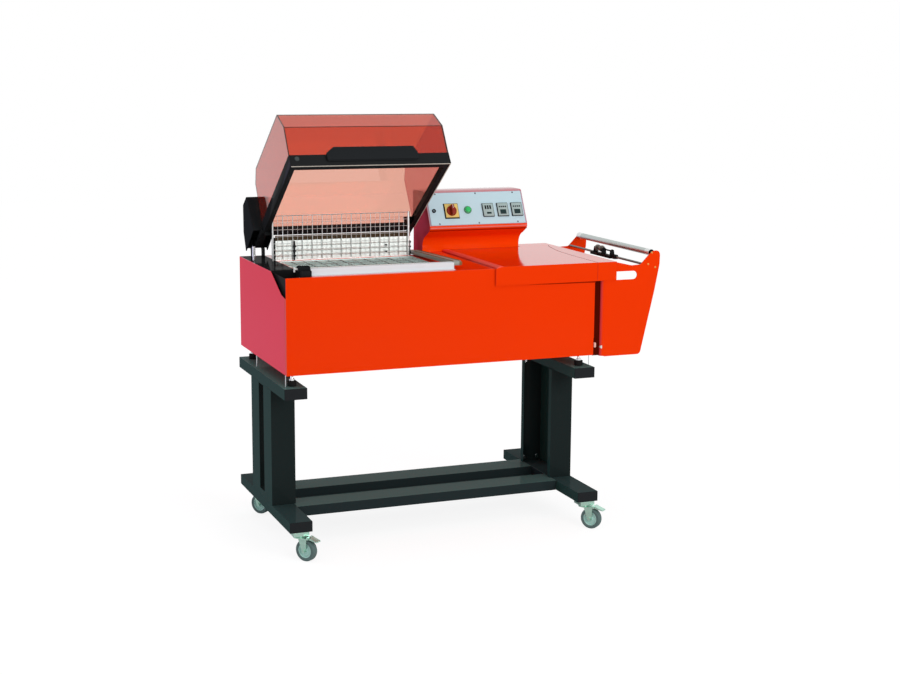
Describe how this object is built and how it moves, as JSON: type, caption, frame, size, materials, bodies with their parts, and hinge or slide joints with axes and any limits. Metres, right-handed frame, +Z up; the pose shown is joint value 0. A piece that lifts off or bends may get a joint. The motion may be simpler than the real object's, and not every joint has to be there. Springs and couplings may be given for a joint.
{
  "type": "l bar sealer",
  "caption": "Hood-type L-bar sealer with shrink chamber, loading tray, film cradle and control console on a castor stand",
  "frame": {"origin": "centre of the overall box, on the floor", "axes": "X right along the machine seen from the operator's side, Y to the rear, Z up"},
  "size_m": [1.483, 0.7776, 1.5652],
  "materials": {
    "housing_paint": "orange-red powder coat, semi-gloss",
    "stand_paint": "glossy black enamel",
    "black_metal": "satin black paint",
    "black_plastic": "black moulded plastic",
    "grey_rubber": "grey rubber tread",
    "black_rubber": "black rubber",
    "zinc": "zinc-plated pressed steel",
    "chrome": "bright plating",
    "stainless": "stainless sheet",
    "wire": "bright plated wire",
    "acrylic": "smoked red transparent acrylic",
    "aluminium": "anodised aluminium",
    "panel_sheet": "pale blue-grey panel sheet",
    "yellow_plastic": "yellow plastic",
    "red_plastic": "red plastic",
    "green_lens": "green illuminated lens",
    "roller_tube": "turned aluminium tube",
    "pale_tube": "pale plastic tube",
    "motor_paint": "grey motor paint"
  },
  "bodies": {
    "machine": {"front_panel": "housing_paint", "left_side_panel": "housing_paint", "right_side_panel": "housing_paint", "rear_panel": "housing_paint", "base_plate": "housing_paint", "top_deck": "housing_paint", "console_housing": "housing_paint", "film_guide_plate": "housing_paint", "cradle_plates": "housing_paint", "cradle_brackets": "housing_paint", "stand_top_bars": "stand_paint", "stand_foot_bars": "stand_paint", "stand_columns": "stand_paint", "lower_shelf": "stand_paint", "bar_end_caps": "black_plastic", "cable_gland": "black_plastic", "digital_modules": "black_plastic", "castor_plates": "zinc", "hex_bolts": "chrome", "foot_studs": "chrome", "perforator_rod": "chrome", "machine_feet": "black_rubber", "left_deck_plate": "black_metal", "hinge_brackets": "black_metal", "seal_frame_mounts": "black_metal", "chamber_pan": "stainless", "chamber_rear_wall": "stainless", "heater_rods": "stainless", "wire_guard": "wire", "blower_motor": "motor_paint", "seal_guide_rail": "aluminium", "control_panel": "panel_sheet", "switch_plate_and_bezel": "yellow_plastic"},
    "hood": {"hood_shell": "acrylic", "hood_frame": "black_metal", "hood_handle": "black_plastic", "hood_hinge_arms": "black_metal", "hinge_cover": "black_plastic"},
    "seal_frame": {"seal_frame": "aluminium", "terminal_block": "black_plastic"},
    "loading_tray": {"loading_tray": "housing_paint"},
    "product_grid": {"product_grid": "wire"},
    "switch_knob": {"switch_knob": "red_plastic"},
    "start_button": {"start_button": "green_lens"},
    "guide_roller": {"guide_roller": "roller_tube"},
    "film_roller_inner": {"film_roller_inner": "pale_tube"},
    "film_roller_outer": {"film_roller_outer": "pale_tube"},
    "perforator": {"perforator": "black_metal"},
    "pin_wheel": {"pin_wheel": "aluminium"},
    "blower_impeller": {"blower_impeller": "aluminium"},
    "castor_fork_front_left": {"castor_fork_front_left": "zinc"},
    "castor_wheel_front_left": {"castor_wheel_front_left": "grey_rubber"},
    "brake_pedal_front_left": {"brake_pedal_front_left": "zinc"},
    "castor_fork_front_right": {"castor_fork_front_right": "zinc"},
    "castor_wheel_front_right": {"castor_wheel_front_right": "grey_rubber"},
    "brake_pedal_front_right": {"brake_pedal_front_right": "zinc"},
    "castor_fork_rear_left": {"castor_fork_rear_left": "zinc"},
    "castor_wheel_rear_left": {"castor_wheel_rear_left": "grey_rubber"},
    "castor_fork_rear_right": {"castor_fork_rear_right": "zinc"},
    "castor_wheel_rear_right": {"castor_wheel_rear_right": "grey_rubber"}
  },
  "joints": [
    {"name": "hood_hinge", "type": "hinge", "parent": "machine", "child": "hood", "pos_m": [-0.3695, 0.35596, 1.073], "axis": [1, 0, 0], "range_deg": [0, 33.8], "stiffness_Nm_per_rad": 30, "springref_deg": -74.48},
    {"name": "seal_press", "type": "hinge", "parent": "machine", "child": "seal_frame", "pos_m": [-0.0715, 0.20596, 1.021], "axis": [1, 0, 0], "range_deg": [0, 1.5], "stiffness_Nm_per_rad": 900, "springref_deg": -1.15},
    {"name": "tray_slide", "type": "slide", "parent": "machine", "child": "loading_tray", "axis": [1, 0, 0], "range_m": [-0.09, 0]},
    {"name": "grid_lift", "type": "slide", "parent": "machine", "child": "product_grid", "axis": [0, 0, -1], "range_m": [-0.12, 0]},
    {"name": "switch_turn", "type": "hinge", "parent": "machine", "child": "switch_knob", "pos_m": [0.0805, 0.19795, 1.17914], "axis": [0, -0.8902, 0.4556], "range_deg": [0, 90]},
    {"name": "button_press", "type": "slide", "parent": "machine", "child": "start_button", "axis": [0, 0.8902, -0.4556], "range_m": [0, 0.003], "stiffness_N_per_m": 200, "springref_m": -0.002},
    {"name": "guide_roller_spin", "type": "hinge", "parent": "machine", "child": "guide_roller", "pos_m": [0.7065, 0.02096, 1.047], "axis": [0, 1, 0], "continuous": true},
    {"name": "film_roller_inner_spin", "type": "hinge", "parent": "machine", "child": "film_roller_inner", "pos_m": [0.5025, 0.02096, 0.695], "axis": [0, 1, 0], "continuous": true},
    {"name": "film_roller_outer_spin", "type": "hinge", "parent": "machine", "child": "film_roller_outer", "pos_m": [0.6385, 0.02096, 0.695], "axis": [0, 1, 0], "continuous": true},
    {"name": "perforator_slide", "type": "slide", "parent": "machine", "child": "perforator", "axis": [0, 1, 0], "range_m": [-0.2, 0.2]},
    {"name": "pin_wheel_spin", "type": "hinge", "parent": "perforator", "child": "pin_wheel", "pos_m": [0.6645, 0.06096, 1.026], "axis": [0, 1, 0], "continuous": true},
    {"name": "impeller_spin", "type": "hinge", "parent": "machine", "child": "blower_impeller", "pos_m": [-0.3635, -0.02004, 0.87], "axis": [0, 0, 1], "continuous": true},
    {"name": "castor_swivel_front_left", "type": "hinge", "parent": "machine", "child": "castor_fork_front_left", "pos_m": [-0.6995, -0.31404, 0.084], "axis": [0, 0, 1], "continuous": true},
    {"name": "castor_roll_front_left", "type": "hinge", "parent": "castor_fork_front_left", "child": "castor_wheel_front_left", "pos_m": [-0.68055, -0.33858, 0.04], "axis": [0.7915, 0.6112, 0], "continuous": true},
    {"name": "brake_press_front_left", "type": "hinge", "parent": "castor_fork_front_left", "child": "brake_pedal_front_left", "pos_m": [-0.67139, -0.35045, 0.0865], "axis": [0.7915, 0.6112, 0], "range_deg": [0, 5]},
    {"name": "castor_swivel_front_right", "type": "hinge", "parent": "machine", "child": "castor_fork_front_right", "pos_m": [0.4325, -0.31404, 0.084], "axis": [0, 0, 1], "continuous": true},
    {"name": "castor_roll_front_right", "type": "hinge", "parent": "castor_fork_front_right", "child": "castor_wheel_front_right", "pos_m": [0.45145, -0.33858, 0.04], "axis": [0.7915, 0.6112, 0], "continuous": true},
    {"name": "brake_press_front_right", "type": "hinge", "parent": "castor_fork_front_right", "child": "brake_pedal_front_right", "pos_m": [0.46061, -0.35045, 0.0865], "axis": [0.7915, 0.6112, 0], "range_deg": [0, 5]},
    {"name": "castor_swivel_rear_left", "type": "hinge", "parent": "machine", "child": "castor_fork_rear_left", "pos_m": [-0.6995, 0.31796, 0.084], "axis": [0, 0, 1], "continuous": true},
    {"name": "castor_roll_rear_left", "type": "hinge", "parent": "castor_fork_rear_left", "child": "castor_wheel_rear_left", "pos_m": [-0.68055, 0.29342, 0.04], "axis": [0.7915, 0.6112, 0], "continuous": true},
    {"name": "castor_swivel_rear_right", "type": "hinge", "parent": "machine", "child": "castor_fork_rear_right", "pos_m": [0.4325, 0.31796, 0.084], "axis": [0, 0, 1], "continuous": true},
    {"name": "castor_roll_rear_right", "type": "hinge", "parent": "castor_fork_rear_right", "child": "castor_wheel_rear_right", "pos_m": [0.45145, 0.29342, 0.04], "axis": [0.7915, 0.6112, 0], "continuous": true}
  ]
}
